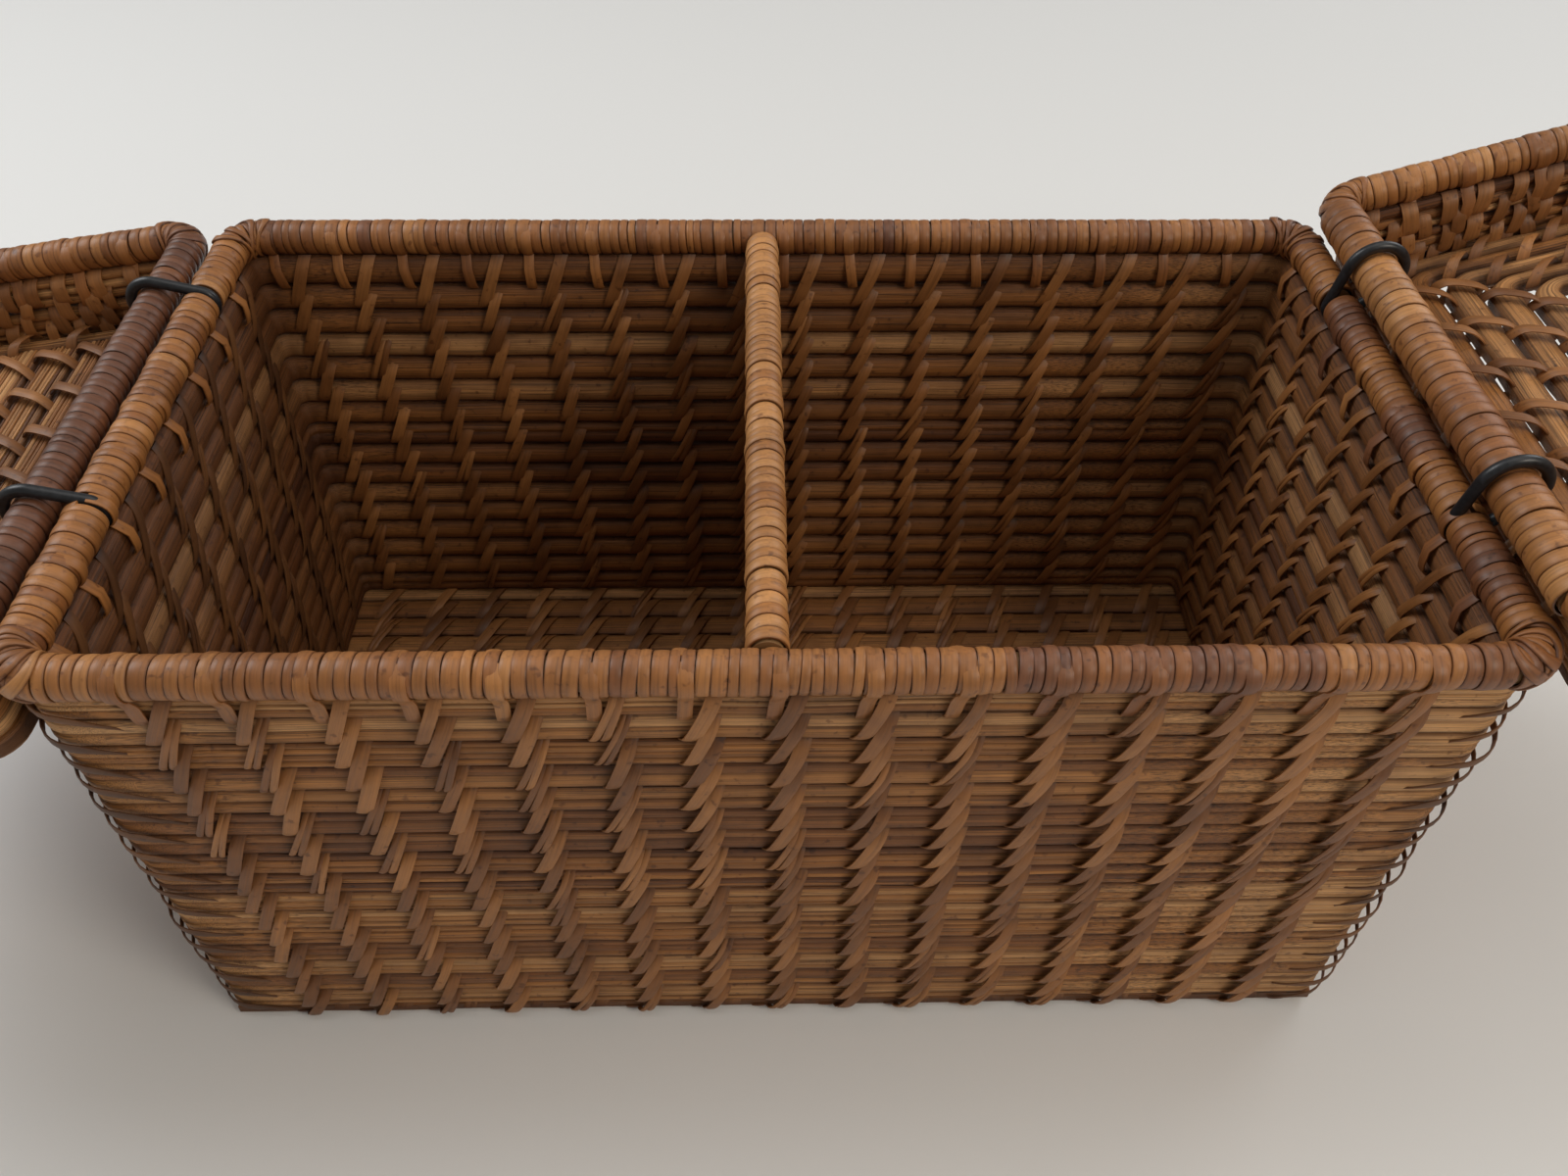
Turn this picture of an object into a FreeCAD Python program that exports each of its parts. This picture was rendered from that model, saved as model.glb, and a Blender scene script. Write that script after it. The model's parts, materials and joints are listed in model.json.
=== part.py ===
"""Sewing basket of coiled cane with a middle divider and two lids that hang on plastic rings.

Frame: the origin is the centre of the basket's underside, +X to the right, +Y to the back,
+Z up. Millimetres. The lids are modelled open, as they rest beside the basket.

Each lid is built in a flat frame of its own: the origin on the hinge rod's axis, +X towards the
free edge, +Z out of the tray. A lid hangs on two rings. A ring turns in a notch of the basket's
rim rod, and the lid's hinge rod turns in the ring.
"""
import FreeCAD, Part
import math
import os
import Sketcher
from FreeCAD import Placement, Rotation, Vector

DIMENSIONS = (
    ("rim_length", 300.0),        # left rim rod to right rim rod, centre to centre
    ("rim_width", 160.0),         # front rim rod to back rim rod, centre to centre
    ("rim_height", 145.0),        # underside to the rim rods' centres
    ("rod_core", 7.1),            # diameter of a bare rod
    ("wrap_ply", 1.2),            # cane wound on a rod, with the air under it
    ("fit_gap", 0.05),            # air between a rod and its winding
    ("rod_corner", 8.0),          # bend radius of the rods' centreline at a corner
    ("wall_ply", 5.0),
    ("wall_proud", 0.5),          # a wall's outer face beyond the rods' centres
    ("wall_corner", 7.0),         # outer radius of the upright corners
    ("wall_rows", 16),            # foundation rows in the basket's walls
    ("row_bulge", 0.7),           # a row's belly beyond the joint between rows
    ("row_groove", 0.3),          # height of the joint between rows
    ("seat_gap", 0.1),            # air between a wall and the rod above it
    ("base_ply", 5.0),
    ("base_rows", 19),
    ("groove_depth", 0.6),        # joints in the base and in the lid panels
    ("groove_width", 0.8),
    ("divider_core", 6.8),
    ("divider_ply", 4.0),
    ("divider_shift", -3.2),      # the divider stands a little to the left of the middle
    ("lid_reach", 145.0),         # hinge rod to free rod, centre to centre
    ("lid_rows", 2),
    ("lid_coils", 8),             # joints between the rectangles of a lid panel
    ("lid_ply", 5.0),
    ("left_hinge_core", 7.1),
    ("right_hinge_core", 9.1),    # this lid hangs on a thicker rod
    ("left_tilt", -9.0),          # degrees from level up to the open lid, hinge to free edge
    ("right_tilt", 17.0),
    ("ring_wire", 2.8),
    ("ring_link", 12.0),          # rim rod to hinge rod, centre to centre
    ("ring_play", 0.15),          # radial air between a ring and what it holds
    ("ring_slot", 3.4),           # width of the gap in the rim's winding
    ("ring_waist", 3.4),          # diameter of the rim rod inside that gap
    ("notch_depth", 4.4),         # how far a lid's hinge wall is cut back around a ring
    ("left_rise", 0.0),           # degrees from level up to the ring's long axis
    ("right_rise", 60.0),
    ("left_ring_front", -33.0),
    ("left_ring_back", 47.5),
    ("right_ring_front", -39.0),
    ("right_ring_back", 45.0),
)

# Sizes worked out from the driving ones, as expressions that the features are bound to.
PIPE = "(dims.rod_core / 2 + dims.wrap_ply)"
WALL_HEIGHT = f"(dims.rim_height - {PIPE} - dims.seat_gap - dims.base_ply)"
ROW_PITCH = f"({WALL_HEIGHT} / dims.wall_rows)"
LID_WALL = f"(dims.lid_rows * {ROW_PITCH})"
CORNERS = ((1, 1, 0), (-1, 1, 90), (-1, -1, 180), (1, -1, 270))
FACES = {"front": (0, -1), "back": (0, 1), "left": (-1, 0), "right": (1, 0)}

doc = FreeCAD.newDocument("sewing_basket")
sheet = doc.addObject("Spreadsheet::Sheet", "dims")
for row, (alias, size) in enumerate(DIMENSIONS, start=1):
    sheet.set(f"A{row}", str(size))
    sheet.setAlias(f"A{row}", alias)
doc.recompute()
subparts = []


def number(expression):
    """The value that an expression has now, to place geometry before it is constrained."""
    return float(sheet.evalExpression(str(expression)))


def finish_part(part, label, frame):
    part.Label = label
    part.Placement = frame
    subparts.append(part)
    return part


def moved(x=0.0, y=0.0, z=0.0, turn=0.0):
    """A placement: a turn about Z in degrees, then a shift."""
    return Placement(Vector(x, y, z), Rotation(Vector(0, 0, 1), turn))


# ---- sketches --------------------------------------------------------------------------------

def datum(body, role):
    return next(item for item in body.Origin.OriginFeatures if item.Role == role)


def sketch_on(body, role, shift=None):
    """A new sketch on one of the body's origin planes; shift is {"x": expression}."""
    sketch = body.newObject("Sketcher::SketchObject", "sketch")
    sketch.AttachmentSupport = (datum(body, role), [""])
    sketch.MapMode = "FlatFace"
    for axis, expression in (shift or {}).items():
        sketch.setExpression(f"AttachmentOffset.Base.{axis}", expression)
    return sketch


def size(sketch, kind, places, expression):
    """Add a dimension that is bound to an expression."""
    index = sketch.addConstraint(Sketcher.Constraint(kind, *places, number(expression)))
    name = f"size_{index}"
    sketch.renameConstraint(index, name)
    sketch.setExpression(f"Constraints.{name}", str(expression))


def circle(sketch, radius, across="0"):
    """A circle centred on the sketch's horizontal axis."""
    middle = Vector(number(across), 0, 0)
    index = sketch.addGeometry(Part.Circle(middle, Vector(0, 0, 1), number(radius)))
    size(sketch, "Radius", (index,), radius)
    size(sketch, "DistanceX", (-1, 1, index, 3), across)
    size(sketch, "DistanceY", (-1, 1, index, 3), "0")


def rectangle(sketch, left, low, width, height):
    x, y = number(left), number(low)
    far_x, far_y = x + number(width), y + number(height)
    ends = [Vector(x, y, 0), Vector(far_x, y, 0), Vector(far_x, far_y, 0), Vector(x, far_y, 0)]
    first = sketch.GeometryCount
    for k in range(4):
        sketch.addGeometry(Part.LineSegment(ends[k], ends[(k + 1) % 4]))
    for k in range(4):
        sketch.addConstraint(Sketcher.Constraint("Coincident", first + k, 2, first + (k + 1) % 4, 1))
        sketch.addConstraint(Sketcher.Constraint("Vertical" if k % 2 else "Horizontal", first + k))
    size(sketch, "DistanceX", (-1, 1, first, 1), left)
    size(sketch, "DistanceY", (-1, 1, first, 1), low)
    size(sketch, "DistanceX", (first, 1, first, 2), width)
    size(sketch, "DistanceY", (first + 1, 1, first + 1, 2), height)


def row_section(sketch, ply, pitch):
    """The section of one foundation row: level ends and two bellied sides."""
    foot = f"({ply} - 2 * dims.row_bulge)"
    low = "(dims.row_groove / 2)"
    tall = f"({pitch} - dims.row_groove)"
    radius = f"((({tall}) ^ 2 / 4 + dims.row_bulge ^ 2) / (2 * dims.row_bulge))"
    half, bottom, rise, arc = number(foot) / 2, number(low), number(tall), number(radius)
    middle = bottom + rise / 2
    inset = arc - number("dims.row_bulge") - half
    spread = math.asin(rise / 2 / arc)
    up = Vector(0, 0, 1)
    base = sketch.addGeometry(Part.LineSegment(Vector(-half, bottom, 0), Vector(half, bottom, 0)))
    right = sketch.addGeometry(Part.ArcOfCircle(
        Part.Circle(Vector(-inset, middle, 0), up, arc), -spread, spread))
    top = sketch.addGeometry(Part.LineSegment(
        Vector(half, bottom + rise, 0), Vector(-half, bottom + rise, 0)))
    left = sketch.addGeometry(Part.ArcOfCircle(
        Part.Circle(Vector(inset, middle, 0), up, arc), math.pi - spread, math.pi + spread))
    for one, two in ((base, right), (right, top), (top, left), (left, base)):
        sketch.addConstraint(Sketcher.Constraint("Coincident", one, 2, two, 1))
    sketch.addConstraint(Sketcher.Constraint("Horizontal", base))
    sketch.addConstraint(Sketcher.Constraint("Horizontal", top))
    sketch.addConstraint(Sketcher.Constraint("Vertical", base, 2, top, 1))
    sketch.addConstraint(Sketcher.Constraint("Vertical", base, 1, top, 2))
    size(sketch, "DistanceX", (base, 1, base, 2), foot)
    size(sketch, "DistanceX", (-1, 1, base, 1), f"-{foot} / 2")
    size(sketch, "DistanceY", (-1, 1, base, 1), low)
    size(sketch, "DistanceY", (base, 2, top, 1), tall)
    size(sketch, "Radius", (right,), radius)
    size(sketch, "Radius", (left,), radius)


# ---- features --------------------------------------------------------------------------------

def both_ways_pad(body, sketch, length):
    pad = body.newObject("PartDesign::Pad", "pad")
    pad.Profile = sketch
    pad.SideType = "Symmetric"
    pad.setExpression("Length", str(length))
    return pad


def quarter_turn(body, sketch):
    turn = body.newObject("PartDesign::Revolution", "turn")
    turn.Profile = sketch
    turn.ReferenceAxis = (datum(body, "Z_Axis"), [""])
    turn.Angle = 90
    return turn


def repeat(body, feature, axis, rows, pitch):
    pattern = body.newObject("PartDesign::LinearPattern", "pattern")
    pattern.Originals = [feature]
    pattern.Direction = (datum(body, axis), [""])
    pattern.setExpression("Occurrences", rows)
    pattern.setExpression("Length", f"({rows} - 1) * {pitch}")
    body.Tip = pattern


def groove_around(body, places, width, inner, outer):
    """Turn a groove in a rod or a winding that lies along X, from inner out past outer."""
    sketch = sketch_on(body, "XZ_Plane")
    for place in places:
        rectangle(sketch, f"{place} - {width} / 2", inner, width, f"{outer} - ({inner}) + 1")
    groove = body.newObject("PartDesign::Groove", "groove")
    groove.Profile = sketch
    groove.ReferenceAxis = (datum(body, "X_Axis"), [""])
    groove.Angle = 360
    body.Tip = groove


def new_body(label):
    body = doc.addObject("PartDesign::Body", label)
    body.Label = label
    return body


# ---- pieces ----------------------------------------------------------------------------------

def rod(label, frame, core, length, waists=()):
    """A bare rod along X, with a waist where each ring turns on it."""
    body = new_body(label)
    section = sketch_on(body, "YZ_Plane")
    circle(section, f"{core} / 2")
    both_ways_pad(body, section, length)
    if waists:
        groove_around(body, waists, "dims.ring_slot", "dims.ring_waist / 2", f"{core} / 2")
    return finish_part(body, label, frame)


def winding(label, frame, core, length, slots=()):
    """The cane wound on a rod, as a sleeve along X that is parted where a ring passes."""
    body = new_body(label)
    outer = f"({core} / 2 + dims.wrap_ply)"
    inner = f"({core} / 2 + dims.fit_gap)"
    section = sketch_on(body, "YZ_Plane")
    circle(section, outer)
    circle(section, inner)
    both_ways_pad(body, section, length)
    if slots:
        groove_around(body, slots, "dims.ring_slot", f"{core} / 2 - 1", outer)
    return finish_part(body, label, frame)


def coiled_strip(body, ply, height, rows, length=None):
    """Stacked foundation rows: straight along X, or a quarter turn about Z without a length."""
    pitch = f"({height} / {rows})"
    bend = {"x": "dims.wall_corner - dims.wall_ply / 2"}
    role, shift = ("YZ_Plane", None) if length else ("XZ_Plane", bend)
    web = sketch_on(body, role, shift)
    foot = f"({ply} - 2 * dims.row_bulge)"
    rectangle(web, f"-{foot} / 2", "0", foot, height)
    belly = sketch_on(body, role, shift)
    row_section(belly, ply, pitch)
    for sketch in (web, belly):
        feature = both_ways_pad(body, sketch, length) if length else quarter_turn(body, sketch)
    repeat(body, feature, "Z_Axis", rows, pitch)


def coiled_wall(label, frame, ply, height, rows, length, notches=()):
    """A flat wall of rows; notches are places along it where rings pass under the rod above."""
    body = new_body(label)
    coiled_strip(body, ply, height, rows, length)
    if notches:
        sketch = sketch_on(body, "XZ_Plane")
        width = "(dims.ring_slot + 1)"
        for place in notches:
            rectangle(sketch, f"{place} - {width} / 2", f"{height} - dims.notch_depth",
                      width, "dims.notch_depth + 1")
        pocket = body.newObject("PartDesign::Pocket", "pocket")
        pocket.Profile = sketch
        pocket.SideType = "Symmetric"
        pocket.setExpression("Length", f"{ply} * 4")
        body.Tip = pocket
    return finish_part(body, label, frame)


def four_corners(label, frame, length, width, radius, make):
    """Group four corner pieces; make gives one as a quarter turn from +X to +Y about its centre."""
    group = doc.addObject("Part::Compound", label)
    pieces = []
    for side, end, turn in CORNERS:
        piece = make(f"{label}_{turn}")
        piece.Placement = moved(turn=turn)
        piece.setExpression("Placement.Base.x", f"{side} * ({length} / 2 - {radius})")
        piece.setExpression("Placement.Base.y", f"{end} * ({width} / 2 - {radius})")
        pieces.append(piece)
    group.Links = pieces
    return finish_part(group, label, frame)


def elbow(label, radius):
    """A quarter of a bent rod."""
    torus = doc.addObject("Part::Torus", label)
    torus.setExpression("Radius1", "dims.rod_corner")
    torus.setExpression("Radius2", radius)
    torus.Angle3 = 90
    return torus


def rod_elbow(label):
    return elbow(label, "dims.rod_core / 2")


def lashing_elbow(label):
    sleeve = doc.addObject("Part::Cut", label)
    sleeve.Base = elbow(label + "_outside", PIPE)
    sleeve.Tool = elbow(label + "_inside", "dims.rod_core / 2 + dims.fit_gap")
    return sleeve


def wall_turns(label, frame, length, width, height, rows):
    """The rows where they turn the four upright corners."""
    body = new_body(label + "_quarter")
    coiled_strip(body, "dims.wall_ply", height, rows)

    def copy(name):
        link = doc.addObject("App::Link", name)
        link.LinkedObject = body
        return link

    return four_corners(label, frame, length, width, "dims.wall_corner", copy)


def slab(label, length, width, ply):
    """A mat with rounded corners, its underside on Z = 0."""
    body = new_body(label)
    outline = sketch_on(body, "XY_Plane")
    rectangle(outline, f"-{length} / 2", f"-{width} / 2", length, width)
    pad = body.newObject("PartDesign::Pad", "pad")
    pad.Profile = outline
    pad.setExpression("Length", ply)
    doc.recompute()
    upright = [f"Edge{k + 1}" for k, edge in enumerate(pad.Shape.Edges)
               if edge.tangentAt(edge.FirstParameter).cross(Vector(0, 0, 1)).Length < 0.01]
    fillet = body.newObject("PartDesign::Fillet", "fillet")
    fillet.Base = (pad, upright)
    fillet.setExpression("Radius", "dims.wall_corner")
    body.Tip = fillet
    return body


def top_pocket(body, sketch):
    pocket = body.newObject("PartDesign::Pocket", "pocket")
    pocket.Profile = sketch
    pocket.setExpression("Length", "dims.groove_depth")
    body.Tip = pocket
    return pocket


def base_mat(label, length, width):
    """The base: rows side by side along X, smooth underneath."""
    body = slab(label, length, width, "dims.base_ply")
    pitch = f"({width} / dims.base_rows)"
    sketch = sketch_on(body, "XY_Plane", {"z": "dims.base_ply"})
    rectangle(sketch, f"-{length} / 2 - 1", f"-{width} / 2 + {pitch} - dims.groove_width / 2",
              f"{length} + 2", "dims.groove_width")
    repeat(body, top_pocket(body, sketch), "Y_Axis", "(dims.base_rows - 1)", pitch)
    return finish_part(body, label, moved())


def lid_panel(label, frame, length, width):
    """A lid's panel: rows coiled in rectangles, one inside the next."""
    body = slab(label, length, width, "dims.lid_ply")
    sketch = sketch_on(body, "XY_Plane", {"z": "dims.lid_ply"})
    for coil in range(1, int(number("dims.lid_coils")) + 1):
        for edge in (0, 1):
            inset = f"({coil} * {ROW_PITCH} + {edge} * dims.groove_width)"
            rectangle(sketch, f"-{length} / 2 + {inset}", f"-{width} / 2 + {inset}",
                      f"{length} - 2 * {inset}", f"{width} - 2 * {inset}")
    top_pocket(body, sketch)
    return finish_part(body, label, frame)


def woven_box(name, frame, faces, length, width, wall_height, rows, cores=None, rings=None, notches=None):
    """Four wrapped rods and the coiled walls under them.

    frame is the centre of the rods' rectangle, and faces says which way each side lies.
    cores gives a rod its own diameter, rings the places where a ring turns on a rod, and
    notches the places where one passes under a rod.
    """
    cores, rings, notches = cores or {}, rings or {}, notches or {}
    outer_length = f"({length} + 2 * dims.wall_proud)"
    outer_width = f"({width} + 2 * dims.wall_proud)"
    for face, (dx, dy) in faces.items():
        span, outer_span = (length, outer_length) if dy else (width, outer_width)
        turn = 0 if dy else 90
        core = cores.get(face, "dims.rod_core")
        place = frame.multiply(moved(dx * number(length) / 2, dy * number(width) / 2, 0, turn))
        run = f"{span} - 2 * dims.rod_corner"
        rod(f"{name}_{face}_rod", place, core, run, rings.get(face, ()))
        winding(f"{name}_{face}_winding", place, core, run, rings.get(face, ()))
        top = number(f"{core} / 2 + dims.wrap_ply + dims.seat_gap")
        floor = number(f"{PIPE} + dims.seat_gap + {wall_height}")
        inset = number("dims.wall_ply / 2")
        place = frame.multiply(moved(dx * (number(outer_length) / 2 - inset),
                                     dy * (number(outer_width) / 2 - inset), -floor, turn))
        height = f"({wall_height} + {PIPE} - {core} / 2 - dims.wrap_ply)"
        coiled_wall(f"{name}_{face}_wall", place, "dims.wall_ply", height, rows,
                    f"{outer_span} - 2 * dims.wall_corner", notches.get(face, ()))
    four_corners(f"{name}_rod_corners", frame, length, width, "dims.rod_corner", rod_elbow)
    four_corners(f"{name}_corner_lashings", frame, length, width, "dims.rod_corner", lashing_elbow)
    wall_turns(f"{name}_wall_corners", frame.multiply(moved(z=-floor)), outer_length, outer_width,
               wall_height, rows)


def basket():
    rings = {side: (f"dims.{side}_ring_front", f"dims.{side}_ring_back") for side in ("left", "right")}
    base_mat("basket_base", "(dims.rim_length + 2 * dims.wall_proud)",
             "(dims.rim_width + 2 * dims.wall_proud)")
    woven_box("basket", moved(z=number("dims.rim_height")), FACES, "dims.rim_length",
              "dims.rim_width", WALL_HEIGHT, "dims.wall_rows", rings=rings)


def divider():
    """The panel that parts the basket, and the wrapped rod along its top."""
    pipe = f"(dims.divider_core / 2 + dims.wrap_ply)"
    shift = number("dims.divider_shift")
    top = moved(x=shift, z=number("dims.rim_height"), turn=90)
    run = f"(dims.rim_width - 2 * {PIPE} - dims.seat_gap)"
    rod("divider_rod", top, "dims.divider_core", run)
    winding("divider_winding", top, "dims.divider_core", run)
    height = f"(dims.rim_height - {pipe} - dims.seat_gap - dims.base_ply)"
    inside = "(dims.rim_width + 2 * dims.wall_proud - 2 * dims.wall_ply - dims.seat_gap)"
    foot = moved(x=shift, z=number("dims.base_ply"), turn=90)
    coiled_wall("divider_panel", foot, "dims.divider_ply", height, "dims.wall_rows", inside)


def side_sign(side):
    return 1 if side == "right" else -1


def hinge_axis(side):
    """The point on the lid's hinge rod that is level with the origin's Y."""
    rise = math.radians(number(f"dims.{side}_rise"))
    link = number("dims.ring_link")
    return Vector(side_sign(side) * (number("dims.rim_length / 2") + link * math.cos(rise)), 0,
                  number("dims.rim_height") + link * math.sin(rise))


def side_frame(side, point, rise):
    """A frame at a point whose X runs outwards from the basket and rises by so many degrees."""
    outward = Rotation(Vector(0, 0, 1), 0 if side == "right" else 180)
    tilt = Rotation(Vector(0, 1, 0), -side_sign(side) * rise)
    return Placement(point, tilt.multiply(outward))


def lid(side):
    name = f"{side}_lid"
    sign = side_sign(side)
    frame = side_frame(side, hinge_axis(side), number(f"dims.{side}_tilt"))
    middle = frame.multiply(moved(x=number("dims.lid_reach / 2")))
    faces = {"hinge": (-1, 0), "front": (0, -sign), "back": (0, sign), "free": (1, 0)}
    notches = [f"{sign} * dims.{side}_ring_{end}" for end in ("front", "back")]
    woven_box(name, middle, faces, "dims.lid_reach", "dims.rim_width", LID_WALL, "dims.lid_rows",
              cores={"hinge": f"dims.{side}_hinge_core"}, notches={"hinge": notches})
    floor = number(f"{PIPE} + dims.seat_gap + {LID_WALL} + dims.lid_ply")
    lid_panel(f"{name}_panel", middle.multiply(moved(z=-floor)),
              "(dims.lid_reach + 2 * dims.wall_proud)", "(dims.rim_width + 2 * dims.wall_proud)")


def ring(side, end):
    """A loop of wire: a small bend about the rim rod's waist, a large one about the hinge rod."""
    label = f"{side}_{end}_ring"
    wire = "dims.ring_wire / 2"
    small = f"(dims.ring_waist / 2 + dims.ring_play + {wire})"
    large = f"(dims.{side}_hinge_core / 2 + dims.wrap_ply + dims.ring_play + {wire})"
    lean = f"acos(({small} - {large}) / dims.ring_link)"
    angle = math.acos((number(small) - number(large)) / number("dims.ring_link"))
    standing = Rotation(Vector(1, 0, 0), 90)
    link = Vector(number("dims.ring_link"), 0, 0)
    pieces = []
    for name, radius, middle, start, sweep in (
            ("head", large, link, -angle, f"2 * {lean}"),
            ("tail", small, Vector(0, 0, 0), angle, f"360 deg - 2 * {lean}")):
        bend = doc.addObject("Part::Torus", f"{label}_{name}")
        bend.setExpression("Radius1", radius)
        bend.setExpression("Radius2", wire)
        bend.setExpression("Angle3", sweep)
        turn = Rotation(Vector(0, 0, 1), math.degrees(start))
        bend.Placement = Placement(middle, standing.multiply(turn))
        pieces.append(bend)
    for name, sign in (("upper", 1), ("lower", -1)):
        normal = Vector(math.cos(angle), 0, sign * math.sin(angle))
        begin = link + normal * number(large)
        finish = normal * number(small)
        leg = doc.addObject("Part::Cylinder", f"{label}_{name}")
        leg.setExpression("Radius", wire)
        leg.setExpression("Height", f"sqrt(dims.ring_link ^ 2 - ({large} - {small}) ^ 2)")
        leg.Placement = Placement(begin, Rotation(Vector(0, 0, 1), finish - begin))
        pieces.append(leg)
    loop = doc.addObject("Part::MultiFuse", label)
    loop.Shapes = pieces
    pivot = Vector(side_sign(side) * number("dims.rim_length / 2"), number(f"dims.{side}_ring_{end}"),
                   number("dims.rim_height"))
    return finish_part(loop, label, side_frame(side, pivot, number(f"dims.{side}_rise")))


# ---- the whole basket ------------------------------------------------------------------------

basket()
divider()
for side in ("left", "right"):
    for end in ("front", "back"):
        ring(side, end)
    lid(side)
doc.recompute()

failed = [item.Label for item in doc.Objects if {"Invalid", "Error"} & set(item.State)]
failed += [part.Label for part in subparts if part.Shape.isNull() or not part.Shape.isValid()]
if failed:
    raise RuntimeError("these objects failed: " + ", ".join(sorted(set(failed))))
os.makedirs("parts", exist_ok=True)
for part in subparts:
    part.Shape.exportStep(f"parts/{part.Label}.step")
    print(f"{part.Label}: {len(part.Shape.Solids)} solids, {part.Shape.Volume:.0f} mm3")
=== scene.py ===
"""Looks of the sewing basket: every foundation row, stitch and winding of cane as its own strip.

Lengths are millimetres until a mesh is made. A surface of coiled work is described by three
numbers: s along its rows, t across them from the first row on, and n out of its middle plane.
"""
import json
import math

import bpy
import numpy as np
from mathutils import Matrix, Vector


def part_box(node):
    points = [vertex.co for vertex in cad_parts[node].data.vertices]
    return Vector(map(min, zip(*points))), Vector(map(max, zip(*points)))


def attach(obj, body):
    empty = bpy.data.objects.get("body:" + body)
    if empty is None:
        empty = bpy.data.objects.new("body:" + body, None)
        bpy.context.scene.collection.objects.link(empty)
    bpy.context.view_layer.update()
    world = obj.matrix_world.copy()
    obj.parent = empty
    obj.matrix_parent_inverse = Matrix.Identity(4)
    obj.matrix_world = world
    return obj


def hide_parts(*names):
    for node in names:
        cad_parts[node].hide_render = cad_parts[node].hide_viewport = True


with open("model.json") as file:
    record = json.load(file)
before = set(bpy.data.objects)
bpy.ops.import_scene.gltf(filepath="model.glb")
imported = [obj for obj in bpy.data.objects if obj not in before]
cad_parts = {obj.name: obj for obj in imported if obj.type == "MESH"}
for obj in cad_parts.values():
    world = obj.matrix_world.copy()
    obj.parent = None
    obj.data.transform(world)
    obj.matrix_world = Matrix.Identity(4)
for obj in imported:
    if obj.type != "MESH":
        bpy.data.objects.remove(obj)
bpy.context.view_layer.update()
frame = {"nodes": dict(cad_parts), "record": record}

MM = 0.001
WALL_ROWS = 16
BASE_ROWS = 19
LID_ROWS = 2
LID_WALL = 5.0              # thickness of a lid's wall
STITCH_STEP = 18.0          # between columns of stitches
STATION_STEP = 6.5          # between the sections of a row
BEND_STATIONS = 6           # sections in a row's bend
FRONT_SHIFT = -0.8          # along s, of the front's columns of stitches
CORNER_CLEAR = 24           # from a corner to the first column outside
INSIDE_CLEAR = 15           # and inside, and on a lid or the base
BELLY = 2.5                 # half of a wall's thickness at a row's middle
TUCK = 0.9                  # how far a wall's first row goes up behind the rod
CANE = 0.55                 # thickness of a cane strip
THIN_CANE = 0.45            # and of the strips round the upright corners
SPLIT_CHANCE = 0.18         # that two narrow strips make a stroke
WALL_CORNER = 7.0           # outer radius of a wall's upright corner
ROD_CORNER = 8.0            # radius of a rod's bend at its middle line
RING_SLOT = 3.6             # room between turns of cane where a ring goes round the rod
RING_REACH = 5              # the turns this near to a ring on a lid's rod lie flat
TURN_POINTS = 28            # of one turn of cane round a rod
FAN_TURNS = 7               # turns round a rod's bend
FAN_CROSSINGS = 4           # strips that slant over them
DEEPEST_SHADE = 0.35                 # what is left of a tone in the deepest painted shade
BLOTCH = 0.5                # strength of the blotches
rng = np.random.default_rng(20)


# ---- the frame's sizes ----

def corners(node):
    low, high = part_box(node)
    return np.array(low) / MM, np.array(high) / MM


def centre(node):
    low, high = corners(node)
    return (low + high) / 2


def radius_of(node, axis=2):
    """Outer radius of a straight winding, from its size along an axis that it's square to."""
    low, high = corners(node)
    return (high[axis] - low[axis]) / 2


BASE_LOW, BASE_HIGH = corners("basket_base")
WALL_LOW, WALL_HIGH = corners("basket_front_wall")
PITCH = (WALL_HIGH[2] - WALL_LOW[2]) / WALL_ROWS
HALF_X, HALF_Y = BASE_HIGH[0], BASE_HIGH[1]
RIM_Z = centre("basket_front_winding")[2]
RIM_HALF_X = centre("basket_right_winding")[0]
RIM_HALF_Y = centre("basket_back_winding")[1]
PIPE = radius_of("basket_front_winding")
JOINTS = {joint["name"]: joint for joint in frame["record"]["behaviour"]["joints"]}


class Place:
    """A local frame of a piece of work, in the shared frame's millimetres."""

    def __init__(self, origin=(0, 0, 0), x=(1, 0, 0), y=(0, 1, 0)):
        self.origin = np.array(origin, float)
        self.x = np.array(x, float)
        self.y = np.array(y, float)
        self.z = np.cross(self.x, self.y)

    def at(self, points):
        points = np.asarray(points, float)
        return self.origin + points[..., :1] * self.x + points[..., 1:2] * self.y + points[..., 2:] * self.z

    def spot(self, x, y, z):
        return self.at(np.stack(np.broadcast_arrays(x, y, z), axis=-1))

    def turned(self, vectors):
        """Directions, not places: the origin is left out."""
        return self.at(vectors) - self.origin


# ---- meshes ----

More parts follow.
